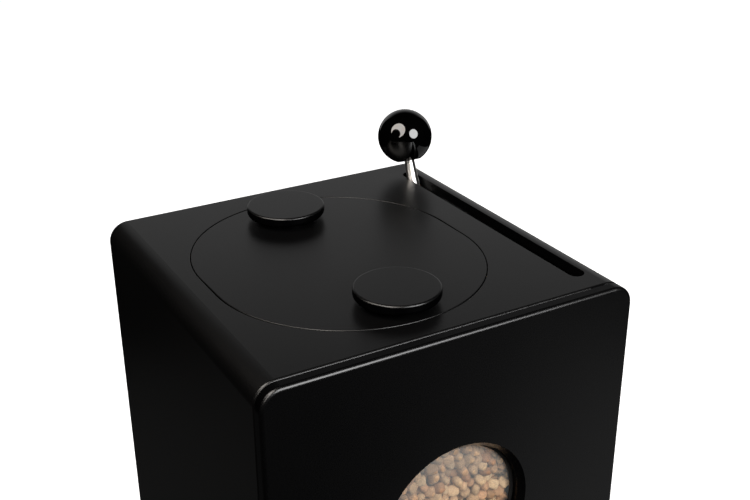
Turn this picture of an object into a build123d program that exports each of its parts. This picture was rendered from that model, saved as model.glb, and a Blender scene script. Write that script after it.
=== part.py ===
from build123d import *
import os
from math import sin, cos, tan, radians, degrees, pi, sqrt, acos

# Lever-operated kibble feeder: a square upright case with a hopper, a round
# sight window, a lift-off lid with two disc knobs, and a hand lever that turns
# a two-pocket measuring drum over a bowl bay.
# Millimetres, +Z up, the front faces -Y, the floor is z = 0.
# The origin is the middle of the whole object's footprint, lever ball included.

os.makedirs("parts", exist_ok=True)

# ---------------------------------------------------------------- dimensions
WIDTH = 340.0            # case width
DEPTH = 342.0            # case depth with the front panel
FOOT_H = 8.0
TOP_Z = 628.0            # top surface
EDGE_R = 18.0            # rounding of the four long edges
WALL = 9.0
PANEL_T = 11.0           # front panel thickness
PANEL_GAP = 0.5          # shadow gap behind the front panel
PANEL_ROUND = 3.2        # rounding of the front panel's face edge
LIP_R = 2.4              # rounding of the wrap towards the shadow gap

CX, CY = 0.0, -3.4       # centre of the case in the object's frame

CASE_H = TOP_Z - FOOT_H
MID_Z = FOOT_H + CASE_H / 2
FRONT = -DEPTH / 2       # -171
REAR = DEPTH / 2         # 171
PANEL_BACK = FRONT + PANEL_T         # -160
CASE_FRONT = PANEL_BACK + PANEL_GAP  # -159.5
IN_X = WIDTH / 2 - WALL              # 161
IN_Z0 = FOOT_H + WALL                # 17
IN_Z1 = TOP_Z - WALL                 # 619

# sight window
WIN_Z = 455.2
WIN_R = 64.7             # bore
WIN_BEVEL = 5.0          # bevel at the face, so the rim is 139.4 across
SIGHT_R = 61.5           # clear opening of the gasket

# lid
LID_X, LID_Y = -16.7, 2.1
LID_STRAIGHT = 35.6      # straight run of the obround between its end arcs
LID_R = 120.5
LID_GAP = 1.0
LID_T = 8.0
MOUTH_R = 111.0
LID_TURN = 0.9           # the lid lies turned a little in its opening, degrees
KNOB_R = 36.4
KNOB_OFF = 100.3
KNOB_H = 13.6
KNOB_NECK = 4.4          # undercut neck that lets fingers in
KNOB_NECK_R = 27.0

# lever
LEVER_X = 141.8
PIVOT_Y, PIVOT_Z = 4.0, 294.4
LEAN = 21.4              # lean to the rear at rest, degrees
SWING = 43.0             # lever travel, degrees
REACH = 400.3            # pivot to ball centre
STEM_R = 5.0             # stem in the hub and in the ball
STEM_MAX_R = 6.2         # stem below the taper
BALL_R = 27.8
BALL_FLAT_R = 11.5
SLOT_W = 14.2
SLOT_Y0, SLOT_Y1 = -137.5, 146.5

# gears and drum
MODULE = 2.0
PRESSURE = 25.0
SECTOR_Z, PINION_Z = 64, 16
BACKLASH = 0.3
DRUM_Z = PIVOT_Z - MODULE * (SECTOR_Z + PINION_Z) / 2   # 214.4
DRUM_R = 48.0
DRUM_X = LID_X
DRUM_L = 119.0
POCKET_R, POCKET_OFF = 26.0, 34.0
SHAFT_R = 5.0

# hopper
TANK_X0, TANK_X1 = LID_X - 130.0, LID_X + 130.0
TANK_Y0, TANK_Y1 = -152.5, 158.5
TANK_Z0, TANK_Z1 = 385.0, 611.0
SHEET = 3.0
THROAT_W, THROAT_D = 108.0, 51.0

# bay
BAY_W, BAY_Z0, BAY_Z1, BAY_BACK = 226.0, 20.0, 145.0, 85.0
BAY_R = 12.0


# -------------------------------------------------------------------- planes
def level(z):
    # horizontal plane, local x and y along the case's width and depth
    return Plane(origin=(CX, CY, z), x_dir=(1, 0, 0), z_dir=(0, 0, 1))


def section(y):
    # upright plane across the case; extrusion runs to the front (-Y)
    return Plane(origin=(CX, CY + y, 0), x_dir=(1, 0, 0), z_dir=(0, -1, 0))


def side(x):
    # upright plane along the case; extrusion runs to +X
    return Plane(origin=(CX + x, CY, 0), x_dir=(0, 1, 0), z_dir=(1, 0, 0))


def obround(r, rotation=90):
    # obround of the lid's family: end radius r, long axis front to rear
    return SlotCenterToCenter(LID_STRAIGHT, 2 * r, rotation=rotation)


def save(piece, name):
    piece.part.label = name
    export_step(piece.part, "parts/" + name + ".step")


# ---------------------------------------------------------- fastener places
BLOCK_X = 154.5
BLOCK_ZS = (28.0, 608.0)
BLOCK_PTS = [(sx * BLOCK_X, z) for sx in (-1, 1) for z in BLOCK_ZS]
FOOT_PTS = [(sx * 130.0, sy * 135.0) for sx in (-1, 1) for sy in (-1, 1)]
BRACKET_PTS = [(-40.0, 322.0), (46.0, 322.0), (-40.0, 204.0), (46.0, 204.0)]
CLEAT_YS = (-110.0, 5.0, 120.0)
CLEAT_Z = 143.5
SHELF_PTS = [(sx * 153.5, y) for sx in (-1, 1) for y in (-90.0, 100.0)]
WINDOW_PTS = [(81.0 * cos(radians(a)), WIN_Z + 81.0 * sin(radians(a))) for a in range(30, 390, 60)]
TANK_PTS = [(LID_X + sx * 114.0, 3.0 + sy * 138.0) for sx in (-1, 1) for sy in (-1, 1)]
HOUSING_PTS = [(DRUM_X + sx * 40.0, PIVOT_Y + sy * 50.0) for sx in (-1, 1) for sy in (-1, 1)]
FUNNEL_PTS = [(DRUM_X + sx * 40.0, PIVOT_Y + sy * 37.0) for sx in (-1, 1) for sy in (-1, 1)]
ROD_PTS = [(PIVOT_Y + sy * 50.0, z) for sy in (-1, 1) for z in (176.0, 252.0)]
LINER_PTS = [(sx * 95.0, y) for sx in (-1, 1) for y in (-130.0, 60.0)]
TURN_C, TURN_S = cos(radians(LID_TURN)), sin(radians(LID_TURN))


def on_lid(x, y):
    # point of the turned lid, from its centre
    return LID_X + x * TURN_C - y * TURN_S, LID_Y + x * TURN_S + y * TURN_C


LID_SCREW_PTS = [on_lid(sx * 14.0, sy * KNOB_OFF) for sx in (-1, 1) for sy in (-1, 1)]

# ===================================================================== case
with BuildPart() as outer_case:
    # wrap of the four long walls
    with BuildSketch(section(REAR)):
        with Locations((0, MID_Z)):
            RectangleRounded(WIDTH, CASE_H, EDGE_R)
            RectangleRounded(WIDTH - 2 * WALL, CASE_H - 2 * WALL, EDGE_R - WALL, mode=Mode.SUBTRACT)
    extrude(amount=REAR - CASE_FRONT)
    # rounded lip towards the shadow gap
    fillet(outer_case.faces().sort_by(Axis.Y)[0].outer_wire().edges(), LIP_R)
    # filling opening and lever slot
    with BuildSketch(level(TOP_Z)):
        with Locations((LID_X, LID_Y)):
            obround(LID_R + LID_GAP)
        with Locations((LEVER_X, (SLOT_Y0 + SLOT_Y1) / 2)):
            SlotOverall(SLOT_Y1 - SLOT_Y0, SLOT_W, rotation=90)
    extrude(amount=-WALL, mode=Mode.SUBTRACT)
    top_face = outer_case.faces().filter_by(Plane.XY).sort_by(Axis.Z)[-1]
    fillet([e for w in top_face.inner_wires() for e in w.edges()], 0.6)
    # pilot holes for feet, bay liner, bracket and cleats
    with BuildSketch(level(FOOT_H)):
        with Locations(*FOOT_PTS):
            Circle(2.0)
    extrude(amount=7.0, mode=Mode.SUBTRACT)
    with BuildSketch(level(IN_Z0)):
        with Locations(*LINER_PTS):
            Circle(2.0)
    extrude(amount=-6.0, mode=Mode.SUBTRACT)
    with BuildSketch(side(IN_X)):
        with Locations(*BRACKET_PTS):
            Circle(2.5)
        with Locations(*[(y, CLEAT_Z) for y in CLEAT_YS]):
            Circle(2.0)
    extrude(amount=6.5, mode=Mode.SUBTRACT)
    with BuildSketch(side(-IN_X)):
        with Locations(*[(y, CLEAT_Z) for y in CLEAT_YS]):
            Circle(2.0)
    extrude(amount=-6.5, mode=Mode.SUBTRACT)
save(outer_case, "outer_case")

with BuildPart() as front_panel:
    with BuildSketch(section(PANEL_BACK)):
        with Locations((0, MID_Z)):
            RectangleRounded(WIDTH, CASE_H, EDGE_R)
        with Locations((0, WIN_Z)):
            Circle(WIN_R, mode=Mode.SUBTRACT)
        with Locations((0, (BAY_Z0 + BAY_Z1) / 2)):
            RectangleRounded(BAY_W, BAY_Z1 - BAY_Z0, BAY_R, mode=Mode.SUBTRACT)
    extrude(amount=PANEL_T)
    # bevelled rim of the window
    chamfer(
        front_panel.edges().filter_by(GeomType.CIRCLE)
        .filter_by(lambda e: abs(e.radius - WIN_R) < 0.01).sort_by(Axis.Y)[0],
        WIN_BEVEL,
    )
    # soft outer edge and bay edge on the face
    fillet(front_panel.faces().sort_by(Axis.Y)[0].outer_wire().edges(), PANEL_ROUND)
    bay_edges = [
        e for w in front_panel.faces().sort_by(Axis.Y)[0].inner_wires() for e in w.edges()
        if e.center().Z < 200
    ]
    fillet(bay_edges, PANEL_ROUND)
    # small relief along the shadow gap
    chamfer(front_panel.faces().sort_by(Axis.Y)[-1].outer_wire().edges(), 0.8)
    # blind holes from behind for the panel and window screws
    with BuildSketch(section(PANEL_BACK)):
        with Locations(*BLOCK_PTS):
            Circle(2.0)
        with Locations(*WINDOW_PTS):
            Circle(1.5)
    extrude(amount=6.0, mode=Mode.SUBTRACT)
save(front_panel, "front_panel")

with BuildPart() as back_panel:
    with BuildSketch(section(REAR - 1.0)):
        with Locations((0, MID_Z)):
            RectangleRounded(WIDTH - 2 * WALL, CASE_H - 2 * WALL, EDGE_R - WALL)
    extrude(amount=WALL)
    chamfer(back_panel.faces().sort_by(Axis.Y)[-1].outer_wire().edges(), 0.8)
    with BuildSketch(section(REAR - 1.0)):
        with Locations(*BLOCK_PTS):
            Circle(4.0)
    extrude(amount=2.4, mode=Mode.SUBTRACT)
    with BuildSketch(section(REAR - 1.0)):
        with Locations(*BLOCK_PTS):
            Circle(2.0)
    extrude(amount=WALL, mode=Mode.SUBTRACT)
save(back_panel, "back_panel")

with BuildPart() as corner_blocks:
    # four glue blocks behind the front panel, four in front of the back panel
    with BuildSketch(section(-138.0)):
        with Locations(*BLOCK_PTS):
            Rectangle(13.0, 22.0)
            Circle(2.0, mode=Mode.SUBTRACT)
    extrude(amount=-138.0 - PANEL_BACK)
    with BuildSketch(section(REAR - 1.0 - WALL)):
        with Locations(*BLOCK_PTS):
            Rectangle(13.0, 22.0)
            Circle(2.0, mode=Mode.SUBTRACT)
    extrude(amount=14.0)
    # trimmed to the rounded inside corners of the wrap
    with BuildSketch(section(REAR)):
        with Locations((0, MID_Z)):
            RectangleRounded(WIDTH - 2 * WALL, CASE_H - 2 * WALL, EDGE_R - WALL)
    extrude(amount=DEPTH, mode=Mode.INTERSECT)
save(corner_blocks, "corner_blocks")

with BuildPart() as front_panel_screws:
    with BuildSketch(section(-138.0)):
        with Locations(*BLOCK_PTS):
            Circle(2.0)
    extrude(amount=27.5)
    with BuildSketch(section(-135.8)):
        with Locations(*BLOCK_PTS):
            Circle(3.9)
    extrude(amount=2.2)
    fillet(front_panel_screws.faces().sort_by(Axis.Y)[-4:].edges(), 1.2)
save(front_panel_screws, "front_panel_screws")

with BuildPart() as back_panel_screws:
    with BuildSketch(section(REAR - 3.4)):
        with Locations(*BLOCK_PTS):
            Circle(2.0)
    extrude(amount=19.0)
    with BuildSketch(section(REAR - 1.2)):
        with Locations(*BLOCK_PTS):
            Circle(3.9)
    extrude(amount=2.2)
    # cross recess
    with BuildSketch(section(REAR - 1.2)):
        with Locations(*BLOCK_PTS):
            Rectangle(4.2, 1.0)
            Rectangle(1.0, 4.2)
    extrude(amount=1.3, mode=Mode.SUBTRACT)
save(back_panel_screws, "back_panel_screws")

with BuildPart() as rubber_feet:
    with BuildSketch(level(0)):
        with Locations(*FOOT_PTS):
            Circle(14.0)
    extrude(amount=FOOT_H, taper=-3)
    with BuildSketch(level(0)):
        with Locations(*FOOT_PTS):
            Circle(5.0)
    extrude(amount=3.2, mode=Mode.SUBTRACT)
    with BuildSketch(level(0)):
        with Locations(*FOOT_PTS):
            Circle(2.0)
    extrude(amount=FOOT_H, mode=Mode.SUBTRACT)
save(rubber_feet, "rubber_feet")

with BuildPart() as foot_screws:
    with BuildSketch(level(1.2)):
        with Locations(*FOOT_PTS):
            Circle(4.5)
    extrude(amount=2.0)
    with BuildSketch(level(3.2)):
        with Locations(*FOOT_PTS):
            Circle(2.0)
    extrude(amount=11.0)
    with BuildSketch(level(1.2)):
        with Locations(*FOOT_PTS):
            Rectangle(4.6, 1.0)
            Rectangle(1.0, 4.6)
    extrude(amount=1.2, mode=Mode.SUBTRACT)
save(foot_screws, "foot_screws")

# =================================================================== window
with BuildPart() as window_gasket:
    with BuildSketch(section(PANEL_BACK + 1.5)):
        with Locations((0, WIN_Z)):
            Circle(75.8)
            Circle(SIGHT_R, mode=Mode.SUBTRACT)
    extrude(amount=1.5)
save(window_gasket, "window_gasket")

with BuildPart() as window_pane:
    with BuildSketch(section(PANEL_BACK + 4.5)):
        with Locations((0, WIN_Z)):
            Circle(75.8)
    extrude(amount=3.0)
save(window_pane, "window_pane")

with BuildPart() as window_retainer:
    with BuildSketch(section(TANK_Y0)):
        with Locations((0, WIN_Z)):
            Circle(86.0)
            Circle(66.0, mode=Mode.SUBTRACT)
    extrude(amount=TANK_Y0 - PANEL_BACK)
    # rebate that holds gasket and pane
    with BuildSketch(section(PANEL_BACK + 4.5)):
        with Locations((0, WIN_Z)):
            Circle(75.8)
    extrude(amount=4.5, mode=Mode.SUBTRACT)
    with BuildSketch(section(TANK_Y0)):
        with Locations(*WINDOW_PTS):
            Circle(3.0)
    extrude(amount=2.2, mode=Mode.SUBTRACT)
    with BuildSketch(section(TANK_Y0)):
        with Locations(*WINDOW_PTS):
            Circle(1.5)
    extrude(amount=8.0, mode=Mode.SUBTRACT)
save(window_retainer, "window_retainer")

with BuildPart() as window_screws:
    with BuildSketch(section(TANK_Y0 - 0.2)):
        with Locations(*WINDOW_PTS):
            Circle(2.9)
    extrude(amount=2.0)
    with BuildSketch(section(TANK_Y0 - 2.2)):
        with Locations(*WINDOW_PTS):
            Circle(1.5)
    extrude(amount=10.8)
save(window_screws, "window_screws")

# =================================================================== hopper
TANK_W, TANK_D = TANK_X1 - TANK_X0, TANK_Y1 - TANK_Y0
TANK_CX, TANK_CY = (TANK_X0 + TANK_X1) / 2, (TANK_Y0 + TANK_Y1) / 2
with BuildPart() as hopper_tank:
    with BuildSketch(level(TANK_Z0)):
        with Locations((TANK_CX, TANK_CY)):
            RectangleRounded(TANK_W, TANK_D, 14.0)
            RectangleRounded(TANK_W - 2 * SHEET, TANK_D - 2 * SHEET, 11.0, mode=Mode.SUBTRACT)
    extrude(amount=TANK_Z1 - TANK_Z0)
    # inturned top flange around the filling mouth
    with BuildSketch(level(TANK_Z1 - SHEET)):
        with Locations((TANK_CX, TANK_CY)):
            RectangleRounded(TANK_W - 2, TANK_D - 2, 13.0)
        with Locations((LID_X, LID_Y)):
            obround(MOUTH_R, 90)
        with Locations((LID_X, LID_Y)):
            SlotCenterToCenter(LID_STRAIGHT, 2 * MOUTH_R, rotation=90, mode=Mode.SUBTRACT)
    extrude(amount=SHEET)
    with BuildSketch(level(TANK_Z1)):
        with Locations(*TANK_PTS):
            Circle(2.0)
    extrude(amount=-SHEET, mode=Mode.SUBTRACT)
    # sight hole in the front wall
    with BuildSketch(section(TANK_Y0 + SHEET)):
        with Locations((0, WIN_Z)):
            Circle(66.0)
    extrude(amount=SHEET, mode=Mode.SUBTRACT)
save(hopper_tank, "hopper_tank")

with BuildPart() as hopper_funnel:
    # outer skin
    with BuildSketch(level(TANK_Z0)):
        with Locations((TANK_CX, TANK_CY)):
            RectangleRounded(TANK_W, TANK_D, 14.0)
    with BuildSketch(level(276.0)):
        with Locations((DRUM_X, PIVOT_Y)):
            RectangleRounded(THROAT_W + 6, THROAT_D + 6, 5.0)
    loft()
    # throat and its flange
    with BuildSketch(level(270.0)):
        with Locations((DRUM_X, PIVOT_Y)):
            RectangleRounded(THROAT_W + 6, THROAT_D + 6, 5.0)
    extrude(amount=6.0)
    with BuildSketch(level(270.0)):
        with Locations((DRUM_X, PIVOT_Y)):
            RectangleRounded(THROAT_W + 12, 84.0, 4.0)
    extrude(amount=2.5)
    # collar that laps inside the tank
    with BuildSketch(level(TANK_Z0)):
        with Locations((TANK_CX, TANK_CY)):
            RectangleRounded(TANK_W - 2 * SHEET, TANK_D - 2 * SHEET, 11.0)
    extrude(amount=3.8)
    # hollow
    with BuildSketch(level(TANK_Z0)):
        with Locations((TANK_CX, TANK_CY)):
            RectangleRounded(TANK_W - 10, TANK_D - 10, 9.0)
    with BuildSketch(level(276.0)):
        with Locations((DRUM_X, PIVOT_Y)):
            RectangleRounded(THROAT_W, THROAT_D, 2.0)
    loft(mode=Mode.SUBTRACT)
    with BuildSketch(level(TANK_Z0)):
        with Locations((TANK_CX, TANK_CY)):
            RectangleRounded(TANK_W - 10, TANK_D - 10, 9.0)
    extrude(amount=5.0, mode=Mode.SUBTRACT)
    with BuildSketch(level(270.0)):
        with Locations((DRUM_X, PIVOT_Y)):
            RectangleRounded(THROAT_W, THROAT_D, 2.0)
    extrude(amount=6.0, mode=Mode.SUBTRACT)
    with BuildSketch(level(270.0)):
        with Locations(*FUNNEL_PTS):
            Circle(2.0)
    extrude(amount=2.5, mode=Mode.SUBTRACT)
save(hopper_funnel, "hopper_funnel")

with BuildPart() as funnel_screws:
    with BuildSketch(level(264.0)):
        with Locations(*FUNNEL_PTS):
            Circle(2.0)
    extrude(amount=8.5)
    with BuildSketch(level(272.5)):
        with Locations(*FUNNEL_PTS):
            RegularPolygon(3.6, 6)
    extrude(amount=2.2)
save(funnel_screws, "funnel_screws")

with BuildPart() as lid_seat:
    # board under the top that carries the lid and the tank
    with BuildSketch(level(TANK_Z1)):
        with Locations((TANK_CX, TANK_CY)):
            RectangleRounded(258.0, 306.0, 14.0)
        with Locations((LID_X, LID_Y)):
            SlotCenterToCenter(LID_STRAIGHT, 2 * MOUTH_R, rotation=90, mode=Mode.SUBTRACT)
    extrude(amount=IN_Z1 - TANK_Z1)
    with BuildSketch(level(TANK_Z1)):
        with Locations(*TANK_PTS):
            Circle(2.0)
    extrude(amount=6.0, mode=Mode.SUBTRACT)
save(lid_seat, "lid_seat")

with BuildPart() as tank_screws:
    with BuildSketch(level(TANK_Z1 - SHEET)):
        with Locations(*TANK_PTS):
            Circle(2.0)
    extrude(amount=8.5)
    with BuildSketch(level(TANK_Z1 - SHEET)):
        with Locations(*TANK_PTS):
            Circle(3.9)
    extrude(amount=-2.0)
save(tank_screws, "tank_screws")

# ====================================================================== lid
with BuildPart() as lid_plate:
    with BuildSketch(level(TOP_Z - LID_T)):
        with Locations((LID_X, LID_Y)):
            obround(LID_R, 90 + LID_TURN)
    extrude(amount=LID_T)
    fillet(lid_plate.faces().sort_by(Axis.Z)[-1].outer_wire().edges(), 0.7)
    with BuildSketch(level(TOP_Z - LID_T)):
        with Locations(*LID_SCREW_PTS):
            Circle(4.0)
    extrude(amount=2.5, mode=Mode.SUBTRACT)
    with BuildSketch(level(TOP_Z - LID_T)):
        with Locations(*LID_SCREW_PTS):
            Circle(2.2)
    extrude(amount=LID_T, mode=Mode.SUBTRACT)
save(lid_plate, "lid_plate")

with BuildPart() as lid_collar:
    with BuildSketch(level(604.0)):
        with Locations((LID_X, LID_Y)):
            obround(109.6, 90 + LID_TURN)
            SlotCenterToCenter(LID_STRAIGHT, 2 * 105.6, rotation=90 + LID_TURN, mode=Mode.SUBTRACT)
    extrude(amount=TOP_Z - LID_T - 604.0)
save(lid_collar, "lid_collar")

with BuildPart() as lid_gasket:
    with BuildSketch(level(IN_Z1)):
        with Locations((LID_X, LID_Y)):
            obround(118.5, 90 + LID_TURN)
            SlotCenterToCenter(LID_STRAIGHT, 2 * 112.5, rotation=90 + LID_TURN, mode=Mode.SUBTRACT)
    extrude(amount=TOP_Z - LID_T - IN_Z1)
save(lid_gasket, "lid_gasket")

for sign, knob_name in ((-1, "lid_knob_front"), (1, "lid_knob_rear")):
    with BuildPart() as lid_knob:
        # undercut neck, then the soft-edged disc
        with BuildSketch(level(TOP_Z)):
            with Locations(on_lid(0, sign * KNOB_OFF)):
                Circle(KNOB_NECK_R)
        extrude(amount=KNOB_NECK)
        with BuildSketch(level(TOP_Z + KNOB_NECK)):
            with Locations(on_lid(0, sign * KNOB_OFF)):
                Circle(KNOB_R)
        extrude(amount=KNOB_H - KNOB_NECK)
        fillet(lid_knob.faces().sort_by(Axis.Z)[-1].edges(), 2.0)
        fillet(
            lid_knob.edges().filter_by(GeomType.CIRCLE)
            .filter_by(lambda e: abs(e.radius - KNOB_R) < 0.01).sort_by(Axis.Z)[0],
            3.8,
        )
        with BuildSketch(level(TOP_Z)):
            with Locations(*[on_lid(sx * 14.0, sign * KNOB_OFF) for sx in (-1, 1)]):
                Circle(2.2)
        extrude(amount=9.0, mode=Mode.SUBTRACT)
    save(lid_knob, knob_name)

with BuildPart() as lid_knob_screws:
    with BuildSketch(level(TOP_Z - LID_T + 0.2)):
        with Locations(*LID_SCREW_PTS):
            Circle(3.9)
    extrude(amount=2.3)
    with BuildSketch(level(TOP_Z - LID_T + 2.5)):
        with Locations(*LID_SCREW_PTS):
            Circle(2.2)
    extrude(amount=14.0)
save(lid_knob_screws, "lid_knob_screws")

# ==================================================================== lever
LEVER_DIR = (0, sin(radians(LEAN)), cos(radians(LEAN)))


def along_stem(r):
    # plane across the stem at distance r from the pivot
    return Plane(
        origin=(CX + LEVER_X, CY + PIVOT_Y + r * LEVER_DIR[1], PIVOT_Z + r * LEVER_DIR[2]),
        x_dir=(1, 0, 0), z_dir=LEVER_DIR,
    )


FLAT_AT = sqrt(BALL_R**2 - BALL_FLAT_R**2)
# plane through the stem's axis, local y up the stem, origin at the ball's centre
ball_plane = Plane(
    origin=along_stem(REACH).origin, x_dir=(1, 0, 0), z_dir=(0, -LEVER_DIR[2], LEVER_DIR[1])
)
with BuildPart() as lever_ball:
    # turned ball: sphere with a flat underside and a blind socket
    with BuildSketch(ball_plane):
        with BuildLine():
            Line((0, BALL_R), (0, -FLAT_AT + 17))
            Line((0, -FLAT_AT + 17), (STEM_R, -FLAT_AT + 15))
            Line((STEM_R, -FLAT_AT + 15), (STEM_R, -FLAT_AT))
            Line((STEM_R, -FLAT_AT), (BALL_FLAT_R, -FLAT_AT))
            ThreePointArc((BALL_FLAT_R, -FLAT_AT), (BALL_R, 0), (0, BALL_R))
        make_face()
    revolve(axis=Axis(along_stem(REACH).origin, LEVER_DIR))
save(lever_ball, "lever_ball")

with BuildPart() as lever_stem:
    # turned stem, tapered towards the ball, with a thinner foot for the hub
    with BuildSketch(ball_plane):
        with BuildLine():
            Polyline(
                (0, 14.0 - REACH), (STEM_R, 14.0 - REACH), (STEM_R, 44.0 - REACH),
                (STEM_MAX_R, 48.0 - REACH), (STEM_MAX_R, -55.3), (STEM_R, -FLAT_AT),
                (STEM_R, 14.5 - FLAT_AT), (0, 14.5 - FLAT_AT), close=True,
            )
        make_face()
    revolve(axis=Axis(along_stem(REACH).origin, LEVER_DIR))
    # flat for the grub screw
    with BuildSketch(along_stem(24.0)):
        with Locations((0, -STEM_R - 1.4)):
            Rectangle(12.0, 4.0)
    extrude(amount=8.0, mode=Mode.SUBTRACT)
save(lever_stem, "lever_stem")

HUB_X0, HUB_X1 = LEVER_X - 8.0, LEVER_X + 8.0
LUG_ANGLE = 248.0        # stop lug, degrees from +Y towards +Z, lever at rest
with BuildPart() as lever_hub:
    with BuildSketch(side(HUB_X0)):
        with Locations((PIVOT_Y, PIVOT_Z)):
            Circle(20.0)
    extrude(amount=HUB_X1 - HUB_X0)
    # socket for the stem
    with BuildSketch(along_stem(0.0)):
        Circle(8.0)
    extrude(amount=38.0)
    # stop lug
    with BuildSketch(side(LEVER_X - 6.0)):
        with Locations(Location((PIVOT_Y, PIVOT_Z, 0), (0, 0, LUG_ANGLE))):
            with Locations((24.0, 0)):
                Rectangle(44.0, 10.0)
    extrude(amount=12.0)
    with BuildSketch(side(HUB_X0 - 1)):
        with Locations((PIVOT_Y, PIVOT_Z)):
            Circle(8.0)
    extrude(amount=HUB_X1 - HUB_X0 + 2, mode=Mode.SUBTRACT)
    with BuildSketch(along_stem(14.0)):
        Circle(STEM_R)
    extrude(amount=26.0, mode=Mode.SUBTRACT)
    # threaded hole for the grub screw, square to the stem
    with BuildSketch(Plane(origin=along_stem(28.0).origin, x_dir=(1, 0, 0),
                           z_dir=(0, -LEVER_DIR[2], LEVER_DIR[1]))):
        Circle(2.5)
    extrude(amount=10.0, mode=Mode.SUBTRACT)
    # three threaded holes for the sector gear
    with BuildSketch(side(HUB_X0)):
        with Locations(Location((PIVOT_Y, PIVOT_Z, 0))):
            with PolarLocations(14.0, 3, start_angle=90):
                Circle(1.6)
    extrude(amount=8.0, mode=Mode.SUBTRACT)
save(lever_hub, "lever_hub")

with BuildPart() as stem_grub_screw:
    with BuildSketch(Plane(
        origin=(CX + LEVER_X,
                CY + PIVOT_Y + 28.0 * LEVER_DIR[1] - 4.4 * LEVER_DIR[2],
                PIVOT_Z + 28.0 * LEVER_DIR[2] + 4.4 * LEVER_DIR[1]),
        x_dir=(1, 0, 0), z_dir=(0, -LEVER_DIR[2], LEVER_DIR[1]))):
        Circle(2.5)
    extrude(amount=4.0)
save(stem_grub_screw, "stem_grub_screw")

with BuildPart() as hub_bushes:
    with BuildSketch(side(HUB_X0)):
        with Locations((PIVOT_Y, PIVOT_Z)):
            Circle(8.0)
            Circle(6.05, mode=Mode.SUBTRACT)
    extrude(amount=7.8)
    with BuildSketch(side(LEVER_X + 0.2)):
        with Locations((PIVOT_Y, PIVOT_Z)):
            Circle(8.0)
            Circle(6.05, mode=Mode.SUBTRACT)
    extrude(amount=7.8)
save(hub_bushes, "hub_bushes")


# ==================================================================== gears
def tooth_profile(teeth, centre_angle):
    # one involute tooth as points (radius, angle in radians), root to root
    rp = MODULE * teeth / 2
    rb = rp * cos(radians(PRESSURE))
    ra = rp + MODULE
    rf = rp - 1.25 * MODULE
    inv_p = tan(radians(PRESSURE)) - radians(PRESSURE)
    half = (pi * MODULE / 2 - BACKLASH / 2) / (2 * rp)
    start = max(rb, rf)
    radii = [start + (ra - start) * k / 5 for k in range(6)]
    flank = []
    for r in radii:
        a = acos(min(1.0, rb / r))
        flank.append((r, half + inv_p - (tan(a) - a)))
    if rb > rf:
        flank.insert(0, (rf, flank[0][1]))
    c = radians(centre_angle)
    left = [(r, c - w) for r, w in flank]
    right = [(r, c + w) for r, w in reversed(flank)]
    return left + right


def to_xy(points, centre):
    return [(centre[0] + r * cos(a), centre[1] + r * sin(a)) for r, a in points]


GEAR_X0, GEAR_X1 = HUB_X0 - 8.0, HUB_X0
SECTOR_TEETH = range(38, 51)
with BuildPart() as sector_gear:
    pts = [(19.0, radians(300.0)), (19.0, radians(196.0))]
    rf_sector = MODULE * SECTOR_Z / 2 - 1.25 * MODULE
    pts.append((rf_sector, radians(211.0)))
    for k in SECTOR_TEETH:
        pts += tooth_profile(SECTOR_Z, k * 360.0 / SECTOR_Z)
    pts.append((rf_sector, radians(284.0)))
    with BuildSketch(side(GEAR_X0)):
        with BuildLine():
            Polyline(*to_xy(pts, (PIVOT_Y, PIVOT_Z)), close=True)
        make_face()
        with Locations((PIVOT_Y, PIVOT_Z)):
            Circle(20.0)
            Circle(8.0, mode=Mode.SUBTRACT)
        # lightening holes
        with Locations(*to_xy([(42.0, radians(a)) for a in (224.0, 248.0, 272.0)], (PIVOT_Y, PIVOT_Z))):
            Circle(6.5, mode=Mode.SUBTRACT)
        with Locations(Location((PIVOT_Y, PIVOT_Z, 0))):
            with PolarLocations(14.0, 3, start_angle=90):
                Circle(1.6, mode=Mode.SUBTRACT)
    extrude(amount=GEAR_X1 - GEAR_X0)
save(sector_gear, "sector_gear")

with BuildPart() as sector_screws:
    with BuildSketch(side(GEAR_X0 - 2.0)):
        with Locations(Location((PIVOT_Y, PIVOT_Z, 0))):
            with PolarLocations(14.0, 3, start_angle=90):
                Circle(1.5)
    extrude(amount=16.0)
    with BuildSketch(side(GEAR_X0 - 2.0)):
        with Locations(Location((PIVOT_Y, PIVOT_Z, 0))):
            with PolarLocations(14.0, 3, start_angle=90):
                Circle(1.6)
    extrude(amount=16.0)
    with BuildSketch(side(GEAR_X0 - 2.0)):
        with Locations(Location((PIVOT_Y, PIVOT_Z, 0))):
            with PolarLocations(14.0, 3, start_angle=90):
                Circle(2.8)
    extrude(amount=2.0)
save(sector_screws, "sector_screws")

PINION_X0, PINION_X1 = LEVER_X - 17.5, LEVER_X - 6.5
with BuildPart() as drive_pinion:
    pts = []
    for k in range(PINION_Z):
        pts += tooth_profile(PINION_Z, (k + 0.5) * 360.0 / PINION_Z)
    with BuildSketch(side(PINION_X0)):
        with BuildLine():
            Polyline(*to_xy(pts, (PIVOT_Y, DRUM_Z)), close=True)
        make_face()
    extrude(amount=PINION_X1 - PINION_X0)
    with BuildSketch(side(PINION_X0)):
        with Locations((PIVOT_Y, DRUM_Z)):
            Circle(11.0)
    extrude(amount=-10.0)
    with BuildSketch(side(PINION_X0 - 10.0)):
        with Locations((PIVOT_Y, DRUM_Z)):
            Circle(SHAFT_R)
    extrude(amount=30.0, mode=Mode.SUBTRACT)
    with BuildSketch(Plane(origin=(CX + PINION_X0 - 5.0, CY + PIVOT_Y, DRUM_Z), x_dir=(1, 0, 0), z_dir=(0, 0, 1))):
        Circle(1.8)
    extrude(amount=12.0, mode=Mode.SUBTRACT)
save(drive_pinion, "drive_pinion")

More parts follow.
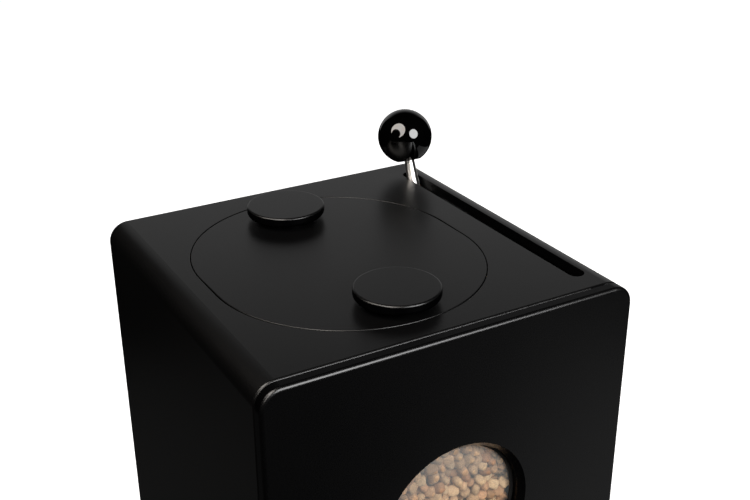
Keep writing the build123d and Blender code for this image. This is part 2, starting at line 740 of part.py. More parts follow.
with BuildPart() as pinion_grub_screw:
    with BuildSketch(Plane(origin=(CX + PINION_X0 - 5.0, CY + PIVOT_Y, DRUM_Z + 5.2), x_dir=(1, 0, 0), z_dir=(0, 0, 1))):
        Circle(1.8)
    extrude(amount=5.0)
save(pinion_grub_screw, "pinion_grub_screw")

# ===================================================================== drum
DRUM_X0, DRUM_X1 = DRUM_X - DRUM_L / 2, DRUM_X + DRUM_L / 2
with BuildPart() as dosing_drum:
    with BuildSketch(side(DRUM_X0)):
        with Locations((PIVOT_Y, DRUM_Z)):
            Circle(DRUM_R)
    extrude(amount=DRUM_L)
    # two opposite measuring pockets
    with BuildSketch(side(DRUM_X0 + 5.0)):
        with Locations((PIVOT_Y, DRUM_Z + POCKET_OFF), (PIVOT_Y, DRUM_Z - POCKET_OFF)):
            Circle(POCKET_R)
    extrude(amount=DRUM_L - 10.0, mode=Mode.SUBTRACT)
    with BuildSketch(side(DRUM_X0)):
        with Locations((PIVOT_Y, DRUM_Z)):
            Circle(SHAFT_R)
    extrude(amount=DRUM_L, mode=Mode.SUBTRACT)
    # coring of the solid sides, from each end
    with BuildSketch(side(DRUM_X0 + DRUM_L / 2 + 2.0)):
        with Locations((PIVOT_Y - 33.0, DRUM_Z), (PIVOT_Y + 33.0, DRUM_Z)):
            Circle(8.0)
    extrude(amount=DRUM_L, mode=Mode.SUBTRACT)
    with BuildSketch(side(DRUM_X0 + DRUM_L / 2 - 2.0)):
        with Locations((PIVOT_Y - 33.0, DRUM_Z), (PIVOT_Y + 33.0, DRUM_Z)):
            Circle(8.0)
    extrude(amount=-DRUM_L, mode=Mode.SUBTRACT)
save(dosing_drum, "dosing_drum")

with BuildPart() as drum_shaft:
    with BuildSketch(side(-92.0)):
        with Locations((PIVOT_Y, DRUM_Z)):
            Circle(SHAFT_R)
    extrude(amount=92.0 + 158.0)
    # clip groove
    with BuildSketch(side(-88.2)):
        with Locations((PIVOT_Y, DRUM_Z)):
            Circle(SHAFT_R + 1)
            Circle(4.2, mode=Mode.SUBTRACT)
    extrude(amount=1.2, mode=Mode.SUBTRACT)
    chamfer(drum_shaft.edges().filter_by(GeomType.CIRCLE).group_by(Axis.X)[0], 0.6)
    chamfer(drum_shaft.edges().filter_by(GeomType.CIRCLE).group_by(Axis.X)[-1], 0.6)
save(drum_shaft, "drum_shaft")

with BuildPart() as shaft_clip:
    with BuildSketch(side(-88.2)):
        with Locations((PIVOT_Y, DRUM_Z)):
            Circle(8.5)
            Circle(4.2, mode=Mode.SUBTRACT)
        with Locations((PIVOT_Y, DRUM_Z - 7.0)):
            Rectangle(6.4, 8.0, mode=Mode.SUBTRACT)
    extrude(amount=1.2)
save(shaft_clip, "shaft_clip")

# ================================================================== housing
HOUSE_X0, HOUSE_X1 = DRUM_X0 - 0.5, DRUM_X1 + 0.5
SHELF_Z0, SHELF_Z1 = 151.0, 160.0
with BuildPart() as drum_housing:
    with BuildSketch(side(HOUSE_X0)):
        with Locations((PIVOT_Y, DRUM_Z)):
            Circle(53.0)
        with Locations((PIVOT_Y, 255.0)):
            Rectangle(63.0, 30.0)
        with Locations((PIVOT_Y, 175.0)):
            Rectangle(63.0, 30.0)
        with Locations((PIVOT_Y, 268.0)):
            Rectangle(84.0, 4.0)
        with Locations((PIVOT_Y, 162.0)):
            Rectangle(116.0, 4.0)
        with Locations((PIVOT_Y, DRUM_Z)):
            Circle(DRUM_R + 1.0, mode=Mode.SUBTRACT)
    extrude(amount=HOUSE_X1 - HOUSE_X0)
    # throat above, outlet below
    with BuildSketch(level(DRUM_Z)):
        with Locations((DRUM_X, PIVOT_Y)):
            Rectangle(THROAT_W, THROAT_D)
    extrude(amount=60.0, both=True, mode=Mode.SUBTRACT)
    with BuildSketch(level(270.0)):
        with Locations(*FUNNEL_PTS):
            Circle(2.0)
    extrude(amount=-4.0, mode=Mode.SUBTRACT)
    with BuildSketch(level(164.0)):
        with Locations(*HOUSING_PTS):
            Circle(2.0)
    extrude(amount=-4.0, mode=Mode.SUBTRACT)
save(drum_housing, "drum_housing")

for x0, end_name in ((HOUSE_X0 - 5.0, "housing_end_left"), (HOUSE_X1, "housing_end_right")):
    with BuildPart() as housing_end:
        with BuildSketch(side(x0)):
            with Locations((PIVOT_Y, (SHELF_Z1 + 270.0) / 2)):
                RectangleRounded(116.0, 270.0 - SHELF_Z1, 6.0)
            with Locations((PIVOT_Y, DRUM_Z)):
                Circle(8.0, mode=Mode.SUBTRACT)
            with Locations(*ROD_PTS):
                Circle(2.5, mode=Mode.SUBTRACT)
        extrude(amount=5.0)
    save(housing_end, end_name)

with BuildPart() as drum_bushes:
    for x0, xf in ((HOUSE_X0 - 5.0, HOUSE_X0 - 7.0), (HOUSE_X1, HOUSE_X1 + 5.0)):
        with BuildSketch(side(x0)):
            with Locations((PIVOT_Y, DRUM_Z)):
                Circle(8.0)
        extrude(amount=5.0)
        with BuildSketch(side(xf)):
            with Locations((PIVOT_Y, DRUM_Z)):
                Circle(11.0)
        extrude(amount=2.0)
    with BuildSketch(side(HOUSE_X0 - 10.0)):
        with Locations((PIVOT_Y, DRUM_Z)):
            Circle(SHAFT_R + 0.05)
    extrude(amount=150.0, mode=Mode.SUBTRACT)
save(drum_bushes, "drum_bushes")

with BuildPart() as tie_rods:
    with BuildSketch(side(HOUSE_X0 - 11.0)):
        with Locations(*ROD_PTS):
            Circle(2.5)
    extrude(amount=HOUSE_X1 - HOUSE_X0 + 22.0)
save(tie_rods, "tie_rods")

with BuildPart() as tie_rod_nuts:
    for x0 in (HOUSE_X0 - 9.0, HOUSE_X1 + 5.0):
        with BuildSketch(side(x0)):
            with Locations(*ROD_PTS):
                RegularPolygon(4.6, 6)
                Circle(2.5, mode=Mode.SUBTRACT)
        extrude(amount=4.0)
save(tie_rod_nuts, "tie_rod_nuts")

with BuildPart() as housing_screws:
    with BuildSketch(level(154.0)):
        with Locations(*HOUSING_PTS):
            Circle(2.0)
    extrude(amount=10.0)
    with BuildSketch(level(164.0)):
        with Locations(*HOUSING_PTS):
            Circle(3.9)
    extrude(amount=2.2)
save(housing_screws, "housing_screws")

with BuildPart() as mech_shelf:
    with BuildSketch(level(SHELF_Z0)):
        with Locations((0, (-150.0 + 161.0) / 2)):
            Rectangle(2 * IN_X, 311.0)
        with Locations((DRUM_X, PIVOT_Y)):
            Rectangle(THROAT_W, THROAT_D, mode=Mode.SUBTRACT)
        with Locations(*HOUSING_PTS):
            Circle(2.0, mode=Mode.SUBTRACT)
        with Locations(*SHELF_PTS):
            Circle(2.0, mode=Mode.SUBTRACT)
    extrude(amount=SHELF_Z1 - SHELF_Z0)
save(mech_shelf, "mech_shelf")

with BuildPart() as shelf_cleats:
    with BuildSketch(level(136.0)):
        for sx in (-1, 1):
            with Locations((sx * (IN_X - 7.5), 5.0)):
                Rectangle(15.0, 270.0)
    extrude(amount=15.0)
    with BuildSketch(level(SHELF_Z0)):
        with Locations(*SHELF_PTS):
            Circle(2.0)
    extrude(amount=-10.0, mode=Mode.SUBTRACT)
    for sx in (-1, 1):
        with BuildSketch(side(sx * (IN_X - 15.0))):
            with Locations(*[(y, CLEAT_Z) for y in CLEAT_YS]):
                Circle(2.0)
        extrude(amount=sx * 15.0, mode=Mode.SUBTRACT)
save(shelf_cleats, "shelf_cleats")

with BuildPart() as shelf_screws:
    # down through the shelf into the cleats, and through the cleats into the walls
    with BuildSketch(level(141.5)):
        with Locations(*SHELF_PTS):
            Circle(2.0)
    extrude(amount=SHELF_Z1 - 141.5)
    with BuildSketch(level(SHELF_Z1)):
        with Locations(*SHELF_PTS):
            Circle(3.9)
    extrude(amount=2.2)
    for sx in (-1, 1):
        with BuildSketch(side(sx * (IN_X - 15.0))):
            with Locations(*[(y, CLEAT_Z) for y in CLEAT_YS]):
                Circle(2.0)
        extrude(amount=sx * 21.0)
        with BuildSketch(side(sx * (IN_X - 15.0))):
            with Locations(*[(y, CLEAT_Z) for y in CLEAT_YS]):
                Circle(3.9)
        extrude(amount=-sx * 2.2)
save(shelf_screws, "shelf_screws")

# ============================================================ chute and bay
with BuildPart() as outlet_chute:
    # flange held between shelf and bay liner
    with BuildSketch(level(BAY_Z1 + SHEET)):
        with Locations((DRUM_X, PIVOT_Y)):
            RectangleRounded(150.0, 92.0, 6.0)
    extrude(amount=SHELF_Z0 - BAY_Z1 - SHEET)
    # tapered spout
    with BuildSketch(level(BAY_Z1 + SHEET)):
        with Locations((DRUM_X, PIVOT_Y)):
            RectangleRounded(THROAT_W + 5, THROAT_D + 5, 5.0)
    with BuildSketch(level(133.0)):
        with Locations((DRUM_X, PIVOT_Y)):
            RectangleRounded(75.0, 51.0, 5.0)
    loft()
    with BuildSketch(level(SHELF_Z0)):
        with Locations((DRUM_X, PIVOT_Y)):
            RectangleRounded(THROAT_W, THROAT_D, 3.0)
    with BuildSketch(level(133.0)):
        with Locations((DRUM_X, PIVOT_Y)):
            RectangleRounded(70.0, 46.0, 3.0)
    loft(mode=Mode.SUBTRACT)
save(outlet_chute, "outlet_chute")

with BuildPart() as bay_liner:
    with BuildSketch(section(BAY_BACK + SHEET)):
        with Locations((0, (BAY_Z0 + BAY_Z1) / 2)):
            RectangleRounded(BAY_W + 2 * SHEET, BAY_Z1 - BAY_Z0 + 2 * SHEET, BAY_R + SHEET)
    extrude(amount=BAY_BACK + SHEET - PANEL_BACK)
    with BuildSketch(section(BAY_BACK)):
        with Locations((0, (BAY_Z0 + BAY_Z1) / 2)):
            RectangleRounded(BAY_W, BAY_Z1 - BAY_Z0, BAY_R)
    extrude(amount=BAY_BACK - PANEL_BACK, mode=Mode.SUBTRACT)
    # cut-out for the spout
    with BuildSketch(level(BAY_Z1 - 1)):
        with Locations((DRUM_X, PIVOT_Y)):
            RectangleRounded(THROAT_W + 7, THROAT_D + 7, 5.0)
    extrude(amount=6.0, mode=Mode.SUBTRACT)
    with BuildSketch(level(BAY_Z0)):
        with Locations(*LINER_PTS):
            Circle(2.0)
    extrude(amount=-SHEET, mode=Mode.SUBTRACT)
save(bay_liner, "bay_liner")

with BuildPart() as liner_screws:
    with BuildSketch(level(11.5)):
        with Locations(*LINER_PTS):
            Circle(2.0)
    extrude(amount=BAY_Z0 - 11.5)
    with BuildSketch(level(BAY_Z0)):
        with Locations(*LINER_PTS):
            Circle(3.9)
    extrude(amount=1.8)
save(liner_screws, "liner_screws")

# ============================================================ lever bracket
BRACKET_X = 156.0
PIN_X0 = LEVER_X - 20.5  # free end of the pivot pin
with BuildPart() as lever_bracket:
    with BuildSketch(side(BRACKET_X)):
        with Locations((PIVOT_Y - 1.0, 263.0)):
            RectangleRounded(104.0, 136.0, 8.0)
        with Locations((PIVOT_Y, PIVOT_Z)):
            Circle(6.0, mode=Mode.SUBTRACT)
        with Locations((PIVOT_Y, DRUM_Z)):
            Circle(8.0, mode=Mode.SUBTRACT)
        with Locations(*BRACKET_PTS):
            Circle(2.5, mode=Mode.SUBTRACT)
    extrude(amount=IN_X - BRACKET_X)
save(lever_bracket, "lever_bracket")

with BuildPart() as bracket_screws:
    with BuildSketch(side(BRACKET_X)):
        with Locations(*BRACKET_PTS):
            Circle(2.5)
    extrude(amount=11.0)
    with BuildSketch(side(BRACKET_X)):
        with Locations(*BRACKET_PTS):
            Circle(4.6)
    extrude(amount=-2.6)
save(bracket_screws, "bracket_screws")

with BuildPart() as pivot_pin:
    with BuildSketch(side(PIN_X0)):
        with Locations((PIVOT_Y, PIVOT_Z)):
            Circle(6.0)
    extrude(amount=IN_X - PIN_X0)
    with BuildSketch(side(PIN_X0 + 0.9)):
        with Locations((PIVOT_Y, PIVOT_Z)):
            Circle(7.0)
            Circle(5.0, mode=Mode.SUBTRACT)
    extrude(amount=1.2, mode=Mode.SUBTRACT)
    chamfer(pivot_pin.edges().filter_by(GeomType.CIRCLE).group_by(Axis.X)[0], 0.6)
save(pivot_pin, "pivot_pin")

with BuildPart() as pivot_washers:
    # spacer at the bracket, thin washer at the free end
    with BuildSketch(side(HUB_X1 + 0.2)):
        with Locations((PIVOT_Y, PIVOT_Z)):
            Circle(11.0)
            Circle(6.0, mode=Mode.SUBTRACT)
    extrude(amount=BRACKET_X - HUB_X1 - 0.2)
    with BuildSketch(side(PIN_X0 + 2.1)):
        with Locations((PIVOT_Y, PIVOT_Z)):
            Circle(10.0)
            Circle(6.0, mode=Mode.SUBTRACT)
    extrude(amount=1.6)
save(pivot_washers, "pivot_washers")

with BuildPart() as pivot_clip:
    with BuildSketch(side(PIN_X0 + 0.9)):
        with Locations((PIVOT_Y, PIVOT_Z)):
            Circle(9.5)
            Circle(5.0, mode=Mode.SUBTRACT)
        with Locations((PIVOT_Y, PIVOT_Z - 8.0)):
            Rectangle(7.6, 9.0, mode=Mode.SUBTRACT)
    extrude(amount=1.2)
save(pivot_clip, "pivot_clip")

with BuildPart() as shaft_end_bush:
    with BuildSketch(side(BRACKET_X)):
        with Locations((PIVOT_Y, DRUM_Z)):
            Circle(8.0)
    extrude(amount=IN_X - BRACKET_X)
    with BuildSketch(side(BRACKET_X)):
        with Locations((PIVOT_Y, DRUM_Z)):
            Circle(11.0)
    extrude(amount=-3.0)
    with BuildSketch(side(BRACKET_X - 5)):
        with Locations((PIVOT_Y, DRUM_Z)):
            Circle(SHAFT_R + 0.05)
    extrude(amount=8.0, mode=Mode.SUBTRACT)
save(shaft_end_bush, "shaft_end_bush")

STOP_R, STOP_AT = 6.0, 36.0
with BuildPart() as stop_bumpers:
    with BuildSketch(side(BRACKET_X)):
        for a in (LUG_ANGLE - 18.0, LUG_ANGLE + SWING + 18.0):
            with Locations((PIVOT_Y + STOP_AT * cos(radians(a)), PIVOT_Z + STOP_AT * sin(radians(a)))):
                Circle(STOP_R)
    extrude(amount=-(BRACKET_X - LEVER_X + 5.0))
save(stop_bumpers, "stop_bumpers")

# ===================================================================== bowl
BOWL_X, BOWL_Y = 0.0, -14.0
with BuildPart() as bowl:
    # thin spun bowl with a rolled rim
    with BuildSketch(Plane(origin=(CX + BOWL_X, CY + BOWL_Y, 0), x_dir=(1, 0, 0), z_dir=(0, -1, 0))):
        with BuildLine():
            Polyline((0, 24), (58, 24))
            Spline((58, 24), (70, 33), (78, 71), tangents=((1, 0), (0.12, 1)))
            Line((78, 71), (82.6, 71))
            ThreePointArc((82.6, 71), (85, 73.4), (82.6, 75.8))
            Line((82.6, 75.8), (77.2, 75.8))
            Spline((77.2, 75.8), (68.2, 34.2), (57, 26), tangents=((-0.12, -1), (-1, 0)))
            Polyline((57, 26), (0, 26), (0, 24))
        make_face()
    revolve(axis=Axis((CX + BOWL_X, CY + BOWL_Y, 0), (0, 0, 1)))
save(bowl, "bowl")

with BuildPart() as bowl_ring:
    with BuildSketch(Plane(origin=(CX + BOWL_X, CY + BOWL_Y, BAY_Z0))):
        Circle(56.0)
        Circle(47.0, mode=Mode.SUBTRACT)
    extrude(amount=4.0)
save(bowl_ring, "bowl_ring")
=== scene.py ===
import math

import bmesh
import bpy
import numpy as np
from mathutils import Matrix, Vector


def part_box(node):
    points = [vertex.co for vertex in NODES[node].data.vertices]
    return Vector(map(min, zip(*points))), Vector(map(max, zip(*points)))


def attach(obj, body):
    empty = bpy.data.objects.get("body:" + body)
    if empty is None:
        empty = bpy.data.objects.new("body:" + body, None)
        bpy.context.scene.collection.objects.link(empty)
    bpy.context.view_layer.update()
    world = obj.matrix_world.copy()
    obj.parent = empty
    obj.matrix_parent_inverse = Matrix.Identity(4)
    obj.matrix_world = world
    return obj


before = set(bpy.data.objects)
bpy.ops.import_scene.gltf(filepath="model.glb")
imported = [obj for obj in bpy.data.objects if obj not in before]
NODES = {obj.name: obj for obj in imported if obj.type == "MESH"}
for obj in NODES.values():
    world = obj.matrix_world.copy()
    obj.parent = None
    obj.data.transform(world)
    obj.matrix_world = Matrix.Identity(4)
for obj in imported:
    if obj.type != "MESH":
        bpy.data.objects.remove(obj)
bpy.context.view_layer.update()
MM = 0.001
scene = bpy.context.scene

# the case's own centre in the frame, from the case itself
case_lo, case_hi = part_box("outer_case")
panel_lo, panel_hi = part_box("front_panel")
CX = (case_lo.x + case_hi.x) / 2
CY = (panel_lo.y + case_hi.y) / 2
TOP = case_hi.z


# ------------------------------------------------------------------ materials
def new_mat(name):
    m = bpy.data.materials.new(name)
    m.use_nodes = True
    nt = m.node_tree
    nt.nodes.clear()
    out = nt.nodes.new("ShaderNodeOutputMaterial")
    return m, nt, out


def node(nt, kind, **vals):
    n = nt.nodes.new(kind)
    for k, v in vals.items():
        if hasattr(n, k):
            setattr(n, k, v)
        else:
            n.inputs[k.replace("_", " ")].default_value = v
    return n


def noise(nt, coord, scale, detail=3.0, rough=0.5, stretch=None):
    n = nt.nodes.new("ShaderNodeTexNoise")
    n.inputs["Scale"].default_value = scale
    n.inputs["Detail"].default_value = detail
    n.inputs["Roughness"].default_value = rough
    if stretch:
        mp = nt.nodes.new("ShaderNodeMapping")
        mp.inputs["Scale"].default_value = stretch
        nt.links.new(coord, mp.inputs["Vector"])
        nt.links.new(mp.outputs["Vector"], n.inputs["Vector"])
    else:
        nt.links.new(coord, n.inputs["Vector"])
    return n.outputs["Fac"]


def ramp(nt, fac, a, b, lo=0.3, hi=0.7):
    r = nt.nodes.new("ShaderNodeMapRange")
    r.inputs["From Min"].default_value = lo
    r.inputs["From Max"].default_value = hi
    r.inputs["To Min"].default_value = a
    r.inputs["To Max"].default_value = b
    nt.links.new(fac, r.inputs["Value"])
    return r.outputs["Result"]


def mix_col(nt, fac, a, b):
    m = nt.nodes.new("ShaderNodeMix")
    m.data_type = "RGBA"
    m.inputs["A"].default_value = (*a, 1) if len(a) == 3 else a
    m.inputs["B"].default_value = (*b, 1) if len(b) == 3 else b
    nt.links.new(fac, m.inputs["Factor"])
    return m.outputs["Result"]


def bumps(nt, bsdf, layers):
    # layers: (height socket, strength, distance in metres), chained
    prev = None
    for h, s, d in layers:
        b = nt.nodes.new("ShaderNodeBump")
        b.inputs["Strength"].default_value = s
        b.inputs["Distance"].default_value = d
        nt.links.new(h, b.inputs["Height"])
        if prev is not None:
            nt.links.new(prev, b.inputs["Normal"])
        prev = b.outputs["Normal"]
    nt.links.new(prev, bsdf.inputs["Normal"])


def principled(nt, out, **vals):
    b = nt.nodes.new("ShaderNodeBsdfPrincipled")
    for k, v in vals.items():
        b.inputs[k].default_value = v
    nt.links.new(b.outputs["BSDF"], out.inputs["Surface"])
    return b


def coords(nt):
    return nt.nodes.new("ShaderNodeTexCoord").outputs["Object"]


def panel_mask(nt, c):
    """1 on the panel's top, bottom, side and bore faces, 0 on its front and back faces; the lacquer gives these faces
    a lower specular level.
    """
    return facing_mask(nt, "Y", 1.0, 0.0, 0.12, 0.42)


def knob_side_shade_mask(nt, c):
    """1 on the knob's side and underside, 0 on its top; the lacquer cuts the specular there almost to nothing,
    painted shade that keeps the sides black.
    """
    return facing_mask(nt, "Z", 1.0, 0.0, 0.25, 0.55)


def slot_wall_shade_mask(nt, c):
    """1 in a band as wide as the lever slot below the case top (the slot's walls), 0 elsewhere; the lacquer cuts the
    specular there, painted shade in the slot.
    """
    sep = nt.nodes.new("ShaderNodeSeparateXYZ")
    nt.links.new(c, sep.inputs[0])
    off = nt.nodes.new("ShaderNodeMath")
    off.operation = "SUBTRACT"
    off.inputs[1].default_value = SLOT_X
    nt.links.new(sep.outputs["X"], off.inputs[0])
    ab = nt.nodes.new("ShaderNodeMath")
    ab.operation = "ABSOLUTE"
    nt.links.new(off.outputs[0], ab.inputs[0])
    inside = ramp(nt, ab.outputs[0], 1.0, 0.0, 0.0076, 0.0079)
    below = ramp(nt, sep.outputs["Z"], 1.0, 0.0, TOP - 0.0004, TOP - 0.0001)
    mul = nt.nodes.new("ShaderNodeMath")
    mul.operation = "MULTIPLY"
    nt.links.new(inside, mul.inputs[0])
    nt.links.new(below, mul.inputs[1])
    return mul.outputs[0]


def facing_mask(nt, axis, a, b, lo, hi):
    tc = nt.nodes.new("ShaderNodeTexCoord")
    sep = nt.nodes.new("ShaderNodeSeparateXYZ")
    nt.links.new(tc.outputs["Normal"], sep.inputs[0])
    src = sep.outputs[axis]
    if axis == "Y":
        ab = nt.nodes.new("ShaderNodeMath")
        ab.operation = "ABSOLUTE"
        nt.links.new(src, ab.inputs[0])
        src = ab.outputs[0]
    return ramp(nt, src, a, b, lo, hi)


def lacquer(name, dark, light, r0, r1, grain=0.12, ior=1.5, mottle=5.0, stretch=None, spec=0.5, mask=None, mask_spec_factor=0.42):
    """Satin sprayed lacquer: fine orange peel, faint mottling in gloss, a little dust."""
    m, nt, out = new_mat(name)
    b = principled(nt, out, Metallic=0.0, IOR=ior)
    b.inputs["Specular IOR Level"].default_value = spec
    c = coords(nt)
    # where the mask is 1 the specular level drops by the given factor: painted shade on the knob sides and the slot
    # walls
    if mask is not None:
        nt.links.new(ramp(nt, mask(nt, c), spec, spec * mask_spec_factor, 0.0, 1.0), b.inputs["Specular IOR Level"])
    mott = noise(nt, c, mottle, 4.0, 0.55, stretch)
    fine = noise(nt, c, 900.0, 2.0, 0.5)
    peel = noise(nt, c, 260.0, 2.0, 0.4)
    nt.links.new(mix_col(nt, mott, dark, light), b.inputs["Base Color"])
    add = nt.nodes.new("ShaderNodeMath")
    add.operation = "ADD"
    nt.links.new(ramp(nt, mott, r0, r1), add.inputs[0])
    nt.links.new(ramp(nt, fine, -0.02, 0.02), add.inputs[1])
    nt.links.new(add.outputs[0], b.inputs["Roughness"])
    bumps(nt, b, [(peel, grain * 0.3, 0.00004), (fine, grain * 0.5, 0.00002)])
    return m


def plastic(name, dark, light, r0, r1, scale=700.0, grain=0.2, ior=1.48, coat=0.0):
    """Moulded plastic: fine spark-eroded texture, slight flow variation."""
    m, nt, out = new_mat(name)
    b = principled(nt, out, Metallic=0.0, IOR=ior)
    b.inputs["Coat Weight"].default_value = coat
    c = coords(nt)
    flow = noise(nt, c, 14.0, 3.0, 0.5)
    fine = noise(nt, c, scale, 3.0, 0.6)
    nt.links.new(mix_col(nt, flow, dark, light), b.inputs["Base Color"])
    nt.links.new(ramp(nt, flow, r0, r1), b.inputs["Roughness"])
    bumps(nt, b, [(fine, grain, 0.00006)])
    return m


def rubber(name, col=(0.012, 0.012, 0.012)):
    m, nt, out = new_mat(name)
    b = principled(nt, out, Metallic=0.0, IOR=1.5)
    b.inputs["Specular IOR Level"].default_value = 0.3
    c = coords(nt)
    n1 = noise(nt, c, 60.0, 4.0, 0.6)
    n2 = noise(nt, c, 1200.0, 2.0, 0.5)
    nt.links.new(mix_col(nt, n1, col, tuple(v * 1.6 for v in col)), b.inputs["Base Color"])
    nt.links.new(ramp(nt, n1, 0.68, 0.85), b.inputs["Roughness"])
    bumps(nt, b, [(n2, 0.25, 0.00005)])
    return m


def metal(name, col, r0, r1, stretch=(1, 1, 1), scale=300.0, grain=0.1, aniso=0.0):
    """Bare or plated metal with a directional finish and faint handling marks."""
    m, nt, out = new_mat(name)
    b = principled(nt, out, Metallic=1.0)
    b.inputs["Anisotropic"].default_value = aniso
    c = coords(nt)
    lines = noise(nt, c, scale, 3.0, 0.6, stretch)
    smear = noise(nt, c, 22.0, 4.0, 0.6)
    nt.links.new(mix_col(nt, smear, tuple(v * 0.9 for v in col), col), b.inputs["Base Color"])
    add = nt.nodes.new("ShaderNodeMath")
    add.operation = "ADD"
    nt.links.new(ramp(nt, smear, r0, r1), add.inputs[0])
    nt.links.new(ramp(nt, lines, -0.03, 0.03), add.inputs[1])
    nt.links.new(add.outputs[0], b.inputs["Roughness"])
    bumps(nt, b, [(lines, grain, 0.00003)])
    return m


def turned_metal(name, col):
    """Turned and polished rod: fine circular lathe lines that draw highlights out along the axis."""
    m, nt, out = new_mat(name)
    b = principled(nt, out, Metallic=1.0)
    b.inputs["Anisotropic"].default_value = 0.85
    b.inputs["Anisotropic Rotation"].default_value = 0.25
    tan = nt.nodes.new("ShaderNodeTangent")
    tan.direction_type = "RADIAL"
    tan.axis = "Z"
    nt.links.new(tan.outputs[0], b.inputs["Tangent"])
    c = coords(nt)
    lines = noise(nt, c, 1500.0, 2.0, 0.5, (0.1, 0.1, 1))
    smear = noise(nt, c, 30.0, 4.0, 0.6)
    nt.links.new(mix_col(nt, smear, tuple(v * 0.92 for v in col), col), b.inputs["Base Color"])
    nt.links.new(ramp(nt, smear, 0.34, 0.42), b.inputs["Roughness"])
    bumps(nt, b, [(lines, 0.02, 0.00001)])
    return m


def board(name):
    """Unpainted particle board with a fine chip figure."""
    m, nt, out = new_mat(name)
    b = principled(nt, out, Metallic=0.0, IOR=1.5)
    c = coords(nt)
    v = nt.nodes.new("ShaderNodeTexVoronoi")
    v.inputs["Scale"].default_value = 420.0
    nt.links.new(c, v.inputs["Vector"])
    chips = noise(nt, c, 160.0, 5.0, 0.65)
    sep = nt.nodes.new("ShaderNodeSeparateColor")
    nt.links.new(v.outputs["Color"], sep.inputs["Color"])
    add = nt.nodes.new("ShaderNodeMath")
    add.operation = "MULTIPLY"
    nt.links.new(sep.outputs[0], add.inputs[0])
    nt.links.new(chips, add.inputs[1])
    nt.links.new(mix_col(nt, add.outputs[0], (0.30, 0.20, 0.11), (0.52, 0.38, 0.22)), b.inputs["Base Color"])
    nt.links.new(ramp(nt, chips, 0.62, 0.8), b.inputs["Roughness"])
    bumps(nt, b, [(chips, 0.3, 0.0002)])
    return m


def gloss_ball(name):
    """Polished black phenolic: deep gloss with faint polishing haze and hairlines."""
    m, nt, out = new_mat(name)
    b = principled(nt, out, Metallic=0.0, IOR=1.62)
    c = coords(nt)
    haze = noise(nt, c, 35.0, 4.0, 0.6)
    hair = noise(nt, c, 900.0, 2.0, 0.4, (1, 0.15, 1))
    nt.links.new(mix_col(nt, haze, (0.0002, 0.0002, 0.0002), (0.0005, 0.0005, 0.0005)), b.inputs["Base Color"])
    nt.links.new(ramp(nt, haze, 0.035, 0.06), b.inputs["Roughness"])
    bumps(nt, b, [(hair, 0.02, 0.00001)])
    return m


def clear_pane(name):
    """Clear acrylic with a faint grey veil that grows towards the top of the window in uneven patches; the veil's
    roughness varies in fine streaks.
    """
    m, nt, out = new_mat(name)
    c = coords(nt)
    clear = nt.nodes.new("ShaderNodeBsdfTransparent")
    clear.inputs["Color"].default_value = (0.96, 0.965, 0.96, 1)
    veil = nt.nodes.new("ShaderNodeBsdfPrincipled")
    veil.inputs["Base Color"].default_value = (0.50, 0.54, 0.55, 1)
    veil.inputs["IOR"].default_value = 1.49
    scratch = noise(nt, c, 500.0, 3.0, 0.6, (1, 1, 0.12))
    veil_patches = noise(nt, c, 45.0, 4.0, 0.6)
    nt.links.new(ramp(nt, scratch, 0.10, 0.22), veil.inputs["Roughness"])
    mix = nt.nodes.new("ShaderNodeMixShader")
    sep = nt.nodes.new("ShaderNodeSeparateXYZ")
    nt.links.new(c, sep.inputs[0])
    # the veil's amount rises with height across the window
    rise = ramp(nt, sep.outputs["Z"], VEIL_LO, VEIL_HI, (WZ - 10) * MM, (WZ + 66) * MM)
    amount = nt.nodes.new("ShaderNodeMath")
    amount.operation = "MULTIPLY"
    nt.links.new(rise, amount.inputs[0])
    nt.links.new(ramp(nt, veil_patches, 0.85, 1.15), amount.inputs[1])
    nt.links.new(amount.outputs[0], mix.inputs["Fac"])
    nt.links.new(clear.outputs["BSDF"], mix.inputs[1])
    nt.links.new(veil.outputs["BSDF"], mix.inputs[2])
    nt.links.new(mix.outputs["Shader"], out.inputs["Surface"])
    return m


def kibble_mat(name, lo, hi, shade=1.0):
    """Baked kibble: tan to brown by piece, coarse crumb, darker pores, a little fat sheen."""
    m, nt, out = new_mat(name)
    b = principled(nt, out, Metallic=0.0, IOR=1.45)
    b.inputs["Specular IOR Level"].default_value = 0.25
    c = coords(nt)
    att = nt.nodes.new("ShaderNodeAttribute")
    att.attribute_name = "tint"
    sep = nt.nodes.new("ShaderNodeSeparateColor")
    nt.links.new(att.outputs["Color"], sep.inputs["Color"])
    crumb = noise(nt, c, 900.0, 4.0, 0.65)
    pore = nt.nodes.new("ShaderNodeTexVoronoi")
    pore.inputs["Scale"].default_value = 1100.0
    nt.links.new(c, pore.inputs["Vector"])
    base = mix_col(nt, sep.outputs[0], lo, hi)
    red = nt.nodes.new("ShaderNodeMix")
    red.data_type = "RGBA"
    red.blend_type = "MULTIPLY"
    red.inputs["B"].default_value = (1.0, 0.80, 0.74, 1)
    nt.links.new(base, red.inputs["A"])
    nt.links.new(sep.outputs[1], red.inputs["Factor"])
    dark = nt.nodes.new("ShaderNodeMix")
    dark.data_type = "RGBA"
    dark.blend_type = "MULTIPLY"
    dark.inputs["B"].default_value = (0.72, 0.64, 0.57, 1)
    nt.links.new(red.outputs["Result"], dark.inputs["A"])
    nt.links.new(ramp(nt, crumb, 0.75, 0.0, 0.3, 0.55), dark.inputs["Factor"])
    nt.links.new(dark.outputs["Result"], b.inputs["Base Color"])
    nt.links.new(ramp(nt, crumb, 0.9, 0.65), b.inputs["Roughness"])
    bumps(nt, b, [(pore.outputs["Distance"], 0.25, 0.0002), (crumb, 0.35, 0.0003)])
    return m


